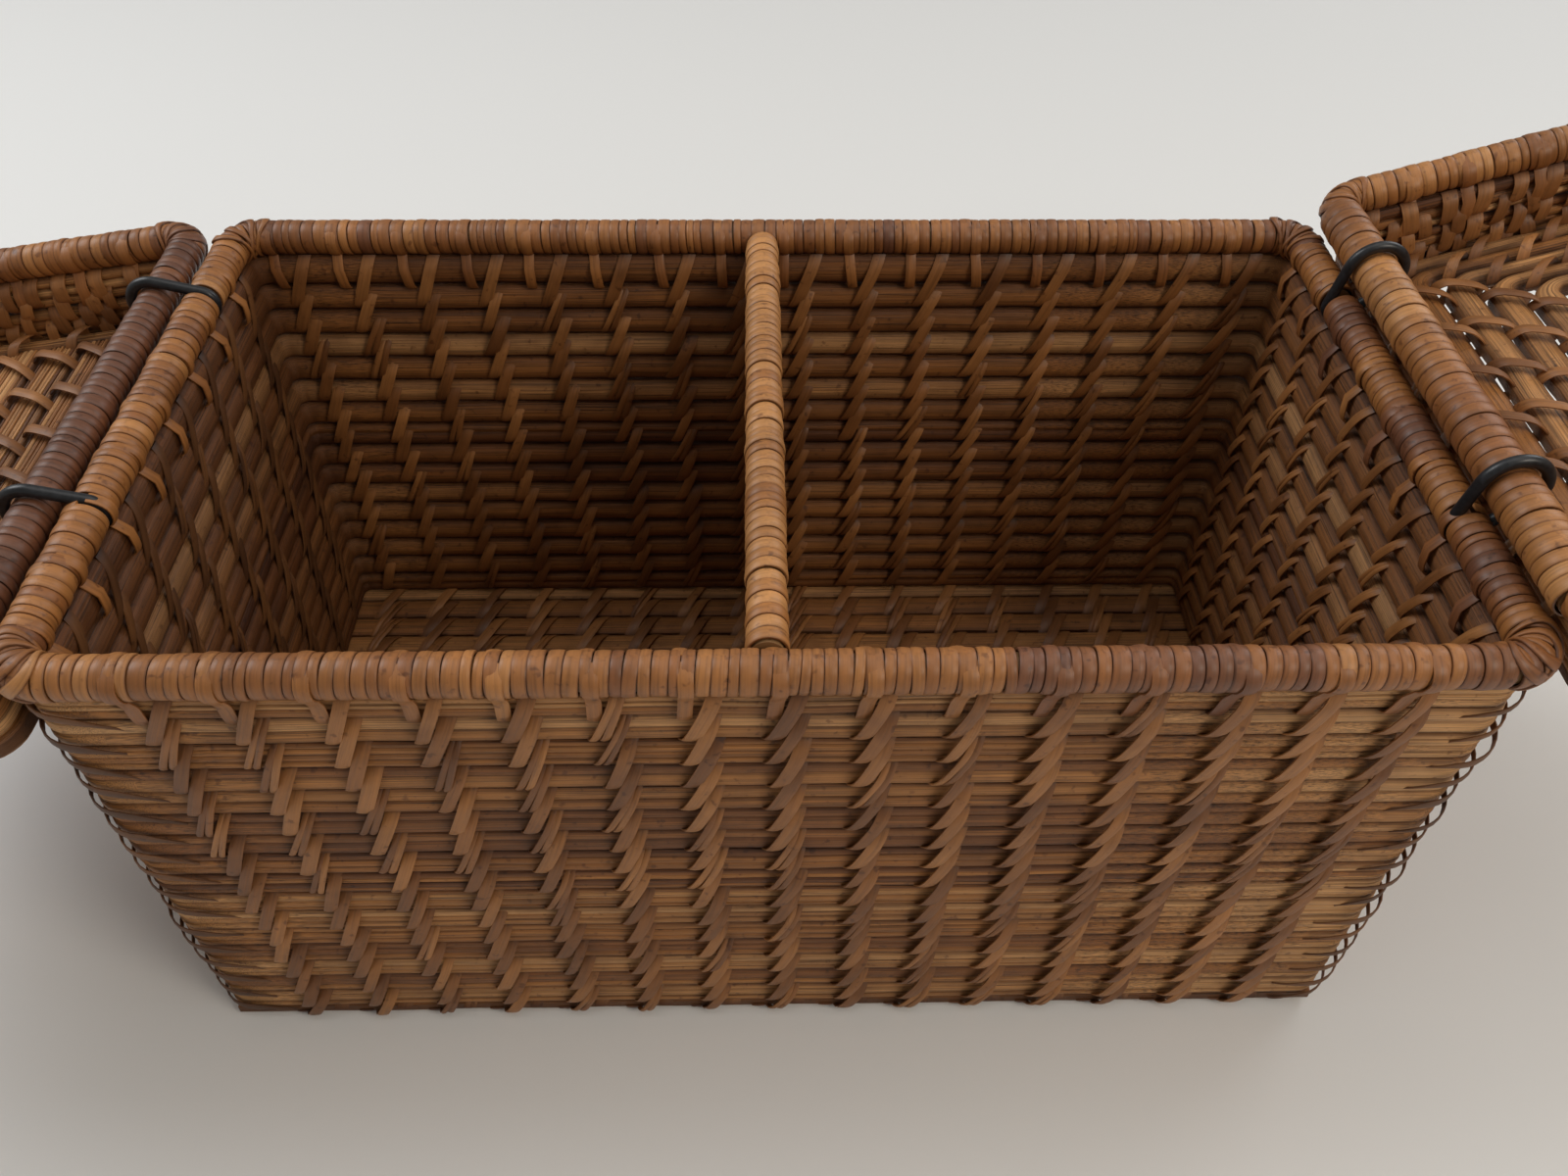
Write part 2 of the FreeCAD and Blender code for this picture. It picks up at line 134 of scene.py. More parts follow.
class Strips:
    """Collects strips and rods in one mesh. Each point keeps the distance along and across its
    strip, the strip's own number from 0 to 1, and its painted shade, deep in a joint or on a shaded wall."""

    def __init__(self):
        self.points, self.faces, self.notes, self.shade_depths = [], [], [], []
        self.count = 0

    def sweep(self, path, side, up, section, tint, closed=False, shade_depth=0.0):
        """Carries a section along a path. section is (m, 2) or (n, m, 2): across, up.

        tint and depth are numbers, or arrays that fit (n, m).
        """
        path = np.asarray(path, float)
        section = np.asarray(section, float)
        n = len(path)
        if section.ndim == 2:
            section = np.broadcast_to(section, (n,) + section.shape)
        m = section.shape[1]
        points = path[:, None] + side[:, None] * section[:, :, :1] + up[:, None] * section[:, :, 1:]
        steps = np.linalg.norm(np.diff(path, axis=0, append=path[:1] if closed else path[-1:]), axis=1)
        along = np.concatenate([[0.0], np.cumsum(steps)[:-1]])
        edges = np.linalg.norm(np.diff(section[0], axis=0, prepend=section[0][-1:]), axis=1)
        notes = np.stack(np.broadcast_arrays(along[:, None], np.cumsum(edges), tint), axis=-1)
        index = self.count + np.arange(n * m).reshape(n, m)
        last = n if closed else n - 1
        nxt = np.roll(index, -1, axis=0)[:last]
        cur = index[:last]
        quads = np.stack([cur, np.roll(cur, -1, axis=1), np.roll(nxt, -1, axis=1), nxt], axis=-1)
        self.faces.append(quads.reshape(-1, 4))
        if not closed:
            for ring, order in ((index[0], -1), (index[-1], 1)):
                ring = ring[::order]
                for k in range(1, m // 2):
                    self.faces.append(np.array([[ring[k - 1], ring[k], ring[m - 1 - k], ring[-k % m]]]))
        self.points.append(points.reshape(-1, 3))
        self.notes.append(notes.reshape(-1, 3))
        self.shade_depths.append(np.broadcast_to(shade_depth, (n, m)).reshape(-1))
        self.count += n * m

    def build(self, name, material, body, replaces=()):
        points = np.concatenate(self.points) * MM
        faces = np.concatenate(self.faces)
        mesh = bpy.data.meshes.new(name)
        mesh.vertices.add(len(points))
        mesh.vertices.foreach_set("co", points.ravel())
        mesh.loops.add(faces.size)
        mesh.loops.foreach_set("vertex_index", faces.ravel())
        mesh.polygons.add(len(faces))
        mesh.polygons.foreach_set("loop_start", np.arange(0, faces.size, 4))
        mesh.update(calc_edges=True)
        mesh.validate()
        mesh.attributes.new("strip", "FLOAT_VECTOR", "POINT").data.foreach_set(
            "vector", np.concatenate(self.notes).ravel())
        mesh.attributes.new("shade_depth", "FLOAT", "POINT").data.foreach_set("value", np.concatenate(self.shade_depths))
        mesh.shade_smooth()
        mesh.set_sharp_from_angle(angle=math.radians(50))
        mesh.materials.append(material)
        piece = bpy.data.objects.new(name, mesh)
        bpy.context.scene.collection.objects.link(piece)
        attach(piece, body)
        if replaces:
            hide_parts(*replaces)


def flat_section(width, thick):
    """A strip of split cane: level below, crowned above."""
    half = width / 2
    return np.array([(-half, 0.15 * thick), (-half, 0.7 * thick), (-0.6 * half, thick),
                     (0, 1.12 * thick), (0.6 * half, thick), (half, 0.7 * thick),
                     (half, 0.15 * thick), (0, 0)])


def unit(vectors):
    return vectors / np.linalg.norm(vectors, axis=-1, keepdims=True)


# ---- surfaces of coiled work ----

class Loop:
    """A rectangle with rounded corners, walked clockwise from the middle of its front side."""

    def __init__(self, half_x, half_y, radius):
        self.half_y, self.radius = half_y, radius
        self.flat_x, self.flat_y = half_x - radius, half_y - radius
        self.arc = math.pi * radius / 2
        self.length = 4 * (self.flat_x + self.flat_y + self.arc)

    def at(self, s):
        """Points (x, y) and outward normals at the distances s."""
        s = np.mod(np.asarray(s, float), self.length)
        half = self.length / 2
        turned = s >= half
        s = np.where(turned, s - half, s)
        fx, fy, arc, r = self.flat_x, self.flat_y, self.arc, self.radius
        side_end = fx + arc + 2 * fy
        first, second = (np.clip((s - start) / arc, 0, 1) * math.pi / 2 for start in (fx, side_end))
        angle = -math.pi / 2 - first - second
        nx, ny = np.cos(angle), np.sin(angle)
        x = np.maximum(s - side_end - arc, 0) - np.minimum(s, fx) + r * nx
        y = np.clip(s - fx - arc, 0, 2 * fy) - fy + r * ny
        sign = np.where(turned, -1.0, 1.0)
        return x * sign, y * sign, nx * sign, ny * sign


class Wall:
    """Upright rows round a box: t runs down from the top of the first row."""

    def __init__(self, place, half_x, half_y, top):
        self.place, self.top = place, top
        self.loop = Loop(half_x - BELLY, half_y - BELLY, WALL_CORNER - BELLY)

    def at(self, s, t, n):
        x, y, nx, ny = self.loop.at(s)
        return self.place.spot(x + nx * n, y + ny * n, self.top - t)


class Inside:
    """A wall turned inside out, so that n grows towards the inside."""

    def __init__(self, wall):
        self.wall = wall

    def at(self, s, t, n):
        return self.wall.at(s, t, -np.asarray(n, float))


class Sheet:
    """Level rows side by side: s runs along x, t along y from its low edge, n along z."""

    def __init__(self, place, low_y, middle_z, turned=False):
        self.place, self.low_y, self.middle_z, self.turned = place, low_y, middle_z, turned

    def at(self, s, t, n):
        x, y = (self.low_y + t, s) if self.turned else (s, self.low_y + t)
        return self.place.spot(x, y, self.middle_z + n)


class FlatLoop:
    """One row of a flat coil: s runs round the rectangle, t inwards from the row's own line."""

    def __init__(self, place, half_x, half_y, middle_z, corner):
        self.place, self.middle_z = place, middle_z
        self.loop = Loop(half_x, half_y, corner)

    def at(self, s, t, n):
        x, y, nx, ny = self.loop.at(s)
        return self.place.spot(x - nx * t, y - ny * t, self.middle_z + n)


class Coil:
    """Rows coiled in rectangles in one plane, seen as four wedges: t runs inwards from the edge."""

    def __init__(self, place, half_x, half_y, middle_z, quarter):
        self.place, self.middle_z = place, middle_z
        self.half = (half_x, half_y)
        self.quarter = quarter

    def at(self, s, t, n):
        out = (self.half[1] if self.quarter % 2 == 0 else self.half[0]) - t
        turn = self.quarter * math.pi / 2
        c, d = math.cos(turn), math.sin(turn)
        x, y = -s, -out
        return self.place.spot(c * x - d * y, d * x + c * y, self.middle_z + n)


def ribbon(mesh, surface, s, t, n, width, tint, face=1.0, shade_depth=0.0, centre=None):
    """A strip of cane whose middle line runs through (s, t, n); its width lies along s.

    Its good side is away from the wall, or away from centre, a point (n, t), where it's given.
    """
    path = surface.at(s, t, n)
    side = unit(surface.at(np.asarray(s) + 0.5, t, n) - surface.at(np.asarray(s) - 0.5, t, n))
    tangent = np.gradient(path, axis=0)
    up = unit(np.cross(side, tangent))
    outward = surface.at(s, t, np.asarray(n) + face) - path
    if centre is not None:
        outward = path - surface.at(s, centre[1] + 0 * t, centre[0] + 0 * n)
    if np.sum(up * outward) < 0:
        up = -up
        side = -side
    mesh.sweep(path, side, up, flat_section(width, CANE), tint, shade_depth=shade_depth)


STROKE = np.array([0, 0.05, 0.12, 0.2, 0.3, 0.42, 0.55, 0.67, 0.77, 0.86, 0.93, 0.97, 1.0])
STROKE_ROOT = 1.6           # how deep between the rows a stroke's ends lie


def stroke(mesh, surface, s, t, face, lean, rise, reach, width, belly=BELLY):
    """One pass of the stitching cane over two rows, from joint to joint."""
    u = STROKE
    sink = belly - STROKE_ROOT
    arch = 1 - np.abs(2 * u - 1) ** 3.6
    n = face * (sink + (belly + rise - sink) * arch)
    # Painted shade on the stroke's ends, where they sink between the rows.
    shade_depth = np.clip(1 - arch * 2.2, 0, 1)[:, None]
    ribbon(mesh, surface, s + lean * (u - 0.5), t + reach * u, n, width, rng.random(), face, shade_depth=shade_depth)


# ---- foundation rows ----

def bundle_section(height, seed, splints=(3, 2), belly=BELLY, crowns=(0.16, 0.5), swells=(0.2, 0.2),
                   tones=(0.25, 0.75)):
    """The section of a row of split cane. Each pair gives its front, then its back: the number of
    splints, how much each one crowns, and how round the whole side is.

    Returns the outline as (n, t) points, a number for each point's splint, and its painted shade.
    """
    local = np.random.default_rng(seed)
    points, tints, shade_depths = [], [], []
    tone = local.uniform(*tones)
    for face, count, crown, swell in zip((1, -1), splints, crowns, swells):
        cuts = np.cumsum(local.uniform(0.6, 1.4, count))
        cuts = np.concatenate([[0], cuts / cuts[-1]])
        for k in range(count):
            a, b = cuts[k], cuts[k + 1]
            shade = tone + local.normal(0, 0.2)
            lift = local.uniform(-0.16, 0.16)
            for v in (0.04, 0.2, 0.5, 0.8, 0.96):
                w = a + (b - a) * v
                bulge = math.sqrt(max(0.0, 1 - (2 * w - 1) ** 4))
                n = belly * (0.94 - swell * (1 - bulge)) + lift + crown * (4 * v * (1 - v) - 0.5)
                edge = v < 0.1 or v > 0.9
                points.append((face * (n - (0.3 if edge else 0)), (w - 0.5) * height * face))
                tints.append(np.clip(shade, 0, 1))
                # Painted shade: darker towards the row's seams and along each splint's edges.
                seam = max(0.0, 1 - min(w, 1 - w) / (0.04 + 0.5 * swell))
                shade_depths.append(max(seam, 0.5 if edge else 0.0))
    return np.array(points), np.array(tints), np.array(shade_depths)


def wander(s, length, size, seed):
    """A smooth random line of that size along s, which closes after length."""
    local = np.random.default_rng(seed)
    angle = np.asarray(s, float) / length * 2 * math.pi
    line = np.zeros(len(angle))
    for k in range(1, 9):
        line += local.normal() * np.sin(k * 3 * angle + local.uniform(0, 7)) / k ** 0.5
    return size * line / 2.2


def row(mesh, surface, s, t, seed, closed, length, height=PITCH * 0.985, wobble=0.2, scales=None, painted_shade=None,
        lift=None, **shape):
    """One foundation row through the stations s at the height t.

    scales alter its height along s. The painted shade array darkens its back there, and lift
    lightens its tone there as painted light.
    """
    path = surface.at(s, t + wander(s, length, wobble, seed), wander(s, length, wobble * 0.7, seed + 1))
    out = unit(surface.at(s, t, 1.0) - surface.at(s, t, -1.0))
    down = unit(surface.at(s, t + 1, 0.0) - surface.at(s, t - 1, 0.0))
    section, tints, shade_depths = bundle_section(height, seed, **shape)
    shade_depths = shade_depths[None]
    # Painted light: a lighter tone along the row where lift is given.
    if lift is not None:
        tints = np.clip(tints[None] + lift[:, None], 0, 1)
    # Painted shade on the back of the row where the shade array is given.
    if painted_shade is not None:
        shade_depths = np.maximum(shade_depths, painted_shade[:, None] * (section[None, :, 0] < 0))
    if scales is not None:
        section = np.repeat(section[None], len(path), axis=0)
        section[:, :, 1] *= scales[:, None]
    mesh.sweep(path, out, down, section, tints, closed=closed, shade_depth=shade_depths)


def straight_row(mesh, surface, start, end, t, seed, **shape):
    """A row that runs from s = start to s = end."""
    s = np.linspace(start, end, max(3, int((end - start) / STATION_STEP)))
    row(mesh, surface, s, t, seed, False, 900.0, **shape)


# ---- windings ----

BAND = np.array([(-0.5, 0.1), (-0.488, 0.50), (-0.38, 0.68), (0, 0.76), (0.38, 0.68), (0.488, 0.50),
                 (0.5, 0.1), (0, 0)])
# Painted shade at a turn's edges, where it meets the next turns.
BAND_SHADE_DEPTH = np.array([1, 0.7, 0, 0, 0, 0.7, 1, 1.0])
BAND_THICK = 0.76


def band(mesh, path, radial, side, widths, tint):
    """A turn of cane laid round a rod. path runs along the turn's underside."""
    section = np.repeat(BAND[None], len(path), axis=0)
    section[:, :, 0] *= widths[:, None]
    mesh.sweep(path, side, radial, section, tint, closed=True, shade_depth=BAND_SHADE_DEPTH)


def turn_of_cane(mesh, middle, axis, lift, radius, width, tint, lean, swell):
    """One turn of cane round a straight rod: a ring that leans a little along the axis."""
    other = np.cross(axis, lift)
    angle = np.linspace(0, 2 * math.pi, TURN_POINTS, endpoint=False)
    radial = np.cos(angle)[:, None] * lift + np.sin(angle)[:, None] * other
    path = middle + radial * (radius - BAND_THICK + swell) + axis * (lean * np.cos(angle + 0.6))[:, None]
    band(mesh, path, radial, np.broadcast_to(axis, path.shape), np.full(TURN_POINTS, width), tint)


class Rod:
    """A straight wound rod in a place: it runs along x there from -half to half, with z up.

    tone is a number or a function of x. A ring's gap is left at each of gaps, and at quiet the
    turns lie flat. widths is the least and greatest width of a turn.
    """

    def __init__(self, place, half, radius, tone, gaps=(), quiet=(), widths=(2.0, 3.7), swell=0.09, lean=0.3,
                 mottle=0.12):
        self.place, self.half, self.radius = place, half, radius
        self.tone = tone if callable(tone) else lambda x: tone
        self.mottle, self.gaps, self.quiet = mottle, gaps, quiet
        self.widths, self.swell, self.lean = widths, swell, lean

    def spans(self):
        """The stretches between the gaps where rings turn."""
        edges = [-self.half]
        for gap in sorted(self.gaps):
            edges += [gap - RING_SLOT / 2, gap + RING_SLOT / 2]
        edges.append(self.half)
        return list(zip(edges[::2], edges[1::2]))

    def wind(self, name, body, node, seed):
        """Makes the turns of cane a piece that replaces the node."""
        mesh = Strips()
        local = np.random.default_rng(seed)
        for low, high in self.spans():
            count = max(1, round((high - low) / np.mean(self.widths)))
            widths = local.uniform(*self.widths, count)
            cuts = low + np.concatenate([[0], np.cumsum(widths)]) * (high - low) / widths.sum()
            for start, end in zip(cuts[:-1], cuts[1:]):
                middle = (start + end) / 2
                tint = float(np.clip(self.tone(middle) + local.normal(0, self.mottle), 0, 1))
                swell = local.normal(0, 1) * self.swell
                if any(abs(middle - place) < RING_REACH for place in self.quiet):
                    swell = -0.05
                turn_of_cane(mesh, self.place.at((middle, 0, 0)), self.place.x, self.place.z,
                             self.radius - 0.05, end - start - 0.04, tint,
                             lean=self.lean + local.normal(0, 0.13), swell=swell)
        mesh.build(name, WINDING, body, [node])


def elbow_turn(mesh, place, at, swing, width, tint, extra, twist=0.0):
    """A turn of cane round a rim's bent rod. The bend's middle is the place's origin, its axis z;
    at is the turn's angle along the bend, and swing how far it slants along the bend."""
    phi = np.linspace(0, 2 * math.pi, TURN_POINTS, endpoint=False)
    theta = at + swing * np.cos(phi - twist)
    outward = np.stack([np.cos(theta), np.sin(theta), 0 * theta], axis=-1)
    up = np.array([0, 0, 1.0])
    radial = np.cos(phi)[:, None] * outward + np.sin(phi)[:, None] * up
    path = outward * ROD_CORNER + radial * (PIPE - BAND_THICK + extra)
    tangent = np.roll(path, -1, axis=0) - np.roll(path, 1, axis=0)
    side = unit(np.cross(tangent, radial))
    reach = (ROD_CORNER + PIPE * np.cos(phi)) / (ROD_CORNER + PIPE)
    widths = np.maximum(width * reach, 1.0)
    band(mesh, place.at(path), place.turned(radial), place.turned(side), widths, tint)


def elbow_fan(mesh, place, tone, seed):
    """Cane fanned out round a rod's corner, with a few strips slanting over it."""
    local = np.random.default_rng(seed)
    quarter = math.pi / 2
    width = quarter * (ROD_CORNER + PIPE) / FAN_TURNS
    for k in range(FAN_TURNS):
        tint = float(np.clip(tone + local.normal(0, 0.09), 0, 1))
        elbow_turn(mesh, place, quarter * (k + 0.5) / FAN_TURNS, local.normal(0, 0.04), width, tint, -0.1)
    for k in range(FAN_CROSSINGS):
        tint = float(np.clip(tone + local.normal(0, 0.1), 0, 1))
        share = (k + 0.5) / FAN_CROSSINGS
        elbow_turn(mesh, place, quarter * (0.2 + 0.6 * share),
                   (0.42 + 0.1 * local.random()) * (1 if k % 2 else -1), 2.9, tint,
                   extra=0.32 + 0.1 * k, twist=math.pi / 2)


TAB_ANGLES = np.radians(np.arange(80, -60, -12))
TAB_SINK = np.interp(TAB_ANGLES, np.radians([15, 60]), [0.04, 0.85])
TAB_DROP = np.array([(0.35, 0.95), (0.7, 0.8), (0.92, 0.45), (1.0, -0.6)])


def tab(mesh, surface, s, lean, pipe_n, pipe_t, radius, tint, width, hook=0.0):
    """The end of a turn of the rod above a wall: it comes out of the turns and down over a row."""
    n = pipe_n + (radius - TAB_SINK) * np.cos(TAB_ANGLES)
    t = pipe_t - (radius - TAB_SINK) * np.sin(TAB_ANGLES)
    n = np.concatenate([n, BELLY + TAB_DROP[:, 1]])
    t = np.concatenate([t, t[-1] + (PITCH * 1.04 - t[-1]) * TAB_DROP[:, 0]])
    u = np.clip((t - pipe_t) / (t[-1] - pipe_t), 0, 1)
    ribbon(mesh, surface, s + lean * u + hook * u ** 4, t, n, width, tint, centre=(pipe_n, pipe_t))


# ---- materials ----

def node_tools(name):
    """A new material and two functions: one adds a node to it, the other links two sockets."""
    material = bpy.data.materials.new(name)
    material.use_nodes = True
    tree = material.node_tree
    tree.nodes.clear()

    def add(kind, **values):
        node = tree.nodes.new(kind)
        for key, value in values.items():
            if hasattr(node, key):
                setattr(node, key, value)
            else:
                node.inputs[key].default_value = value
        return node

    def link(out, into):
        tree.links.new(out, into)

    return material, add, link


def ramp(add, link, source, stops):
    """A colour ramp on a source, from its stops: (position, colour)."""
    node = add("ShaderNodeValToRGB")
    elements = node.color_ramp.elements
    while len(elements) > 1:
        elements.remove(elements[0])
    elements[0].position, elements[0].color = stops[0][0], (*stops[0][1], 1)
    for position, colour in stops[1:]:
        elements.new(position).color = (*colour, 1)
    link(source, node.inputs[0])
    return node.outputs[0]


def noise(add, link, vector, **settings):
    node = add("ShaderNodeTexNoise", **settings)
    link(vector, node.inputs["Vector"])
    return node.outputs[0]


def multiply(add, link, colour, factor, amount=1.0):
    """Two colours multiplied. amount and factor are sockets or constant values."""
    node = add("ShaderNodeMix", data_type="RGBA", blend_type="MULTIPLY")
    for index, value in ((0, amount), (6, colour), (7, factor)):
        if isinstance(value, bpy.types.NodeSocket):
            link(value, node.inputs[index])
        else:
            node.inputs[index].default_value = value
    return node.outputs[2]


def shaded(add, link, colour, relief, rough_range, strength, distance):
    """The shader with its gloss and bump from the same relief, and the material's output."""
    shader = add("ShaderNodeBsdfPrincipled")
    link(colour, shader.inputs["Base Color"])
    gloss = add("ShaderNodeMapRange")
    gloss.inputs["To Min"].default_value, gloss.inputs["To Max"].default_value = rough_range
    link(relief, gloss.inputs["Value"])
    link(gloss.outputs[0], shader.inputs["Roughness"])
    bump = add("ShaderNodeBump", Strength=strength, Distance=distance)
    link(relief, bump.inputs["Height"])
    link(bump.outputs[0], shader.inputs["Normal"])
    link(shader.outputs[0], add("ShaderNodeOutputMaterial").inputs[0])
    return shader


def cane_material(name, tones, streak, rough, coat, bump, grain=(0.035, 2.2)):
    """Split cane: a tone for each strip, fibres along it, blotches, and painted shade in the joints and on
    shaded walls.
    """
    material, add, link = node_tools(name)
    strip = add("ShaderNodeAttribute", attribute_name="strip")
    parts = add("ShaderNodeSeparateXYZ")
    link(strip.outputs["Vector"], parts.inputs[0])
    fibre_at = add("ShaderNodeCombineXYZ")
    for index, scale in enumerate((*grain, 91.0)):
        scaled = add("ShaderNodeMath", operation="MULTIPLY")
        scaled.inputs[1].default_value = scale
        link(parts.outputs[index], scaled.inputs[0])
        link(scaled.outputs[0], fibre_at.inputs[index])
    place = add("ShaderNodeTexCoord").outputs["Object"]
    fibre = noise(add, link, fibre_at.outputs[0], Scale=1.0, Detail=4.0, Roughness=0.65)
    cloud = noise(add, link, place, Scale=55.0, Detail=5.0, Roughness=0.6)
    specks = noise(add, link, place, Scale=420.0, Detail=2.0)
    fibre_stops = ((0.28, (1 - streak,) * 3), (0.5, (1, 1, 1)), (0.74, (1 + streak * 0.6,) * 3))
    cloud_stops = ((0.33, (1 - BLOTCH * 0.55, 1 - BLOTCH * 0.62, 1 - BLOTCH * 0.66)), (0.52, (1, 1, 1)),
                   (0.72, (1 + BLOTCH * 0.25, 1 + BLOTCH * 0.22, 1 + BLOTCH * 0.18)))
    speck_stops = ((0.27, (0.45, 0.38, 0.34)), (0.36, (1, 1, 1)))
    colour = ramp(add, link, parts.outputs[2], tones)
    colour = multiply(add, link, colour, ramp(add, link, fibre, fibre_stops))
    colour = multiply(add, link, colour, ramp(add, link, cloud, cloud_stops))
    colour = multiply(add, link, colour, ramp(add, link, specks, speck_stops), 0.8)
    # Painted shade: the tone darkens by each point's shade attribute.
    shade_depth = add("ShaderNodeAttribute", attribute_name="shade_depth").outputs["Fac"]
    colour = multiply(add, link, colour, (DEEPEST_SHADE, DEEPEST_SHADE * 0.8, DEEPEST_SHADE * 0.65, 1), shade_depth)
    shader = shaded(add, link, colour, fibre, (rough - 0.1, rough + 0.14), bump, 0.00035)
    shader.inputs["Coat Weight"].default_value = coat
    shader.inputs["Coat Roughness"].default_value = 0.3
    shader.inputs["IOR"].default_value = 1.5
    return material


def plastic_material(name, colour, rough):
    """Dull plastic with fine scuffs, lighter where it's worn."""
    material, add, link = node_tools(name)
    scuffs = noise(add, link, add("ShaderNodeTexCoord").outputs["Object"], Scale=900.0, Detail=4.0)
    worn = ramp(add, link, scuffs, ((0.35, colour), (0.75, tuple(c * 2.2 for c in colour))))
    shaded(add, link, worn, scuffs, (rough - 0.08, rough + 0.12), 0.08, 0.0002)
    return material


SPLINT = cane_material(
    "splint", ((0.0, (0.110, 0.034, 0.007)), (0.3, (0.230, 0.083, 0.019)), (0.65, (0.365, 0.149, 0.037)),
               (1.0, (0.560, 0.295, 0.115))), 0.95, 0.55, 0.0, 0.9, grain=(0.025, 3.6))
STITCH = cane_material(
    "stitch_cane", ((0.0, (0.180, 0.068, 0.019)), (0.5, (0.265, 0.105, 0.029)), (1.0, (0.370, 0.158, 0.047))),
    0.3, 0.5, 0.04, 0.35, grain=(0.06, 1.6))
# Dark cane of the corner strips, and a darker copy of the stitch cane as painted shade inside the left wall.
DARK_AND_SHADED_STITCH = cane_material(
    "dark_and_shaded_stitch_cane", ((0.0, (0.080, 0.029, 0.008)), (1.0, (0.165, 0.065, 0.018))), 0.3, 0.55, 0.02, 0.3,
    grain=(0.06, 1.6))
WINDING = cane_material(
    "winding_cane", ((0.0, (0.128, 0.050, 0.026)), (0.2, (0.170, 0.064, 0.028)), (0.4, (0.250, 0.091, 0.025)),
                     (0.7, (0.360, 0.145, 0.038)), (1.0, (0.520, 0.245, 0.082))), 0.35, 0.46, 0.08, 0.35,
    grain=(0.05, 1.3))
ROD = cane_material("bare_rod", ((0.0, (0.28, 0.15, 0.06)), (1.0, (0.45, 0.28, 0.13))), 0.4, 0.5, 0.0, 0.4)
PLASTIC = plastic_material("ring_plastic", (0.009, 0.010, 0.012), 0.34)


# ---- stitches ----

def columns(middle, half):
    """Places of the columns of stitches on a stretch that reaches half each way."""
    count = int((2 * half) // STITCH_STEP) + 1
    return middle + (np.arange(count) - (count - 1) / 2) * STITCH_STEP


def stitch_column(mesh, surface, s, rows, pitch, face, lean, rise, width=3.8, belly=BELLY, limit=1e9,
                  span=2.0, start=0.0):
    """Strokes one under another, each over span rows, and none past the limit of t.

    Now and then two narrow strips take the place of one.
    """
    for k in range(rows - 1):
        high_edge = (k + start) * pitch
        reach = min(span * pitch, limit - high_edge)
        here = s + rng.normal(0, 0.35)
        high = rise + rng.normal(0, 0.18)
        slant = lean + rng.normal(0, 0.5)
        broad = width + rng.normal(0, 0.22)
        if rng.random() < SPLIT_CHANCE:
            for shift in (-0.27, 0.27):
                stroke(mesh, surface, here + shift * broad, high_edge, face, slant + shift * 2,
                       high + rng.normal(0, 0.12), reach, broad * 0.5, belly=belly)
        else:
            stroke(mesh, surface, here, high_edge, face, slant, high, reach, broad, belly=belly)


def crosswise_ribbon(mesh, surface, s, t, n, width, tint):
    """A thin strip of cane square to its own run, with a width for each point."""
    path = surface.at(s, t, n)
    tangent = unit(np.gradient(path, axis=0))
    outward = unit(surface.at(s, t, n + 1.0) - path)
    side = unit(np.cross(tangent, outward))
    up = np.cross(side, tangent)
    section = np.repeat(flat_section(1.0, THIN_CANE)[None], len(path), axis=0)
    section[:, :, 0] *= width[:, None]
    mesh.sweep(path, side, up, section, tint)


def corner_feathers(mesh, surface, s_corner, toward, bow, strands, reach):
    """Thin strips that bow round an upright corner from each row, and small turns at its side."""
    u = np.linspace(0, 1, 22)
    for k in range(WALL_ROWS):
        for strand in range(strands):
            start = -(reach + 5 * rng.random() - 2 * strand)
            end = 8.0 + 3 * rng.random()
            s = s_corner + toward * (start + (end - start) * u)
            drop = PITCH * (1.0 + 0.3 * rng.random())
            t = (k + 0.95 - 0.45 * strand) * PITCH - drop * (u ** 0.8 - 0.35)
            t = np.clip(t, 0.4, WALL_ROWS * PITCH + 2.5)
            high = bow * (0.35 + 0.65 * rng.random())
            n = BELLY - 0.6 + (high + 0.7) * np.sin(math.pi * np.minimum(u * 1.02, 1)) ** 0.75 + 0.2 * strand
            width = 2.3 * np.clip(np.minimum(u * 2.6, (1 - u) * 6), 0.18, 1) * rng.uniform(0.8, 1.15)
            crosswise_ribbon(mesh, surface, s, t, n, width, rng.random())
        stroke(mesh, surface, s_corner + toward * (7.5 + rng.normal(0, 0.8)), (k - 0.1) * PITCH, 1.0,
               2.0 * rng.normal(), 1.5 + 0.4 * rng.random(), 1.3 * PITCH, 3.0)


# ---- the basket ----

def corner_starts(loop):
    """Where along a loop each of its four corner bends starts."""
    low = [loop.flat_x, loop.flat_x + loop.arc + 2 * loop.flat_y]
    return low + [start + loop.length / 2 for start in low]


def four_sides(loop, half_x, half_y, shift=0.0):
    """The middle and the half length of a loop's front, left, back and right, in this order."""
    quarter = loop.length / 4
    return [(shift, half_x), (quarter, half_y), (2 * quarter, half_x), (3 * quarter, half_y)]


def stations(loop):
    """Distances along a loop: even on its sides and closer in its bends."""
    starts = corner_starts(loop)
    s = []
    for start, follow in zip(starts, starts[1:] + [starts[0] + loop.length]):
        end = start + loop.arc
        s.append(np.linspace(start, end, BEND_STATIONS, endpoint=False))
        s.append(np.linspace(end, follow, max(2, int((follow - end) / STATION_STEP)), endpoint=False))
    return np.concatenate(s)


# The corners' strips, from the front left clockwise: their direction, bow, number and reach.
CORNER_LOOKS = ((1, 1.5, 1, 11.0), (-1, 1.5, 2, 9.5), (1, 2.0, 2, 9.5), (-1, 2.4, 1, 6.5))
# The inside stitches, in the order of four_sides: their cane, rise and width. The left wall's
# darker cane is painted shade.
INSIDE_LOOKS = {"front": (STITCH, 0.9, 3.6), "left": (DARK_AND_SHADED_STITCH, 0.2, 3.0),
                "back": (STITCH, 0.9, 3.6), "right": (STITCH, 0.8, 2.7)}
BASKET_WALL = Wall(Place(), HALF_X, HALF_Y, WALL_HIGH[2])


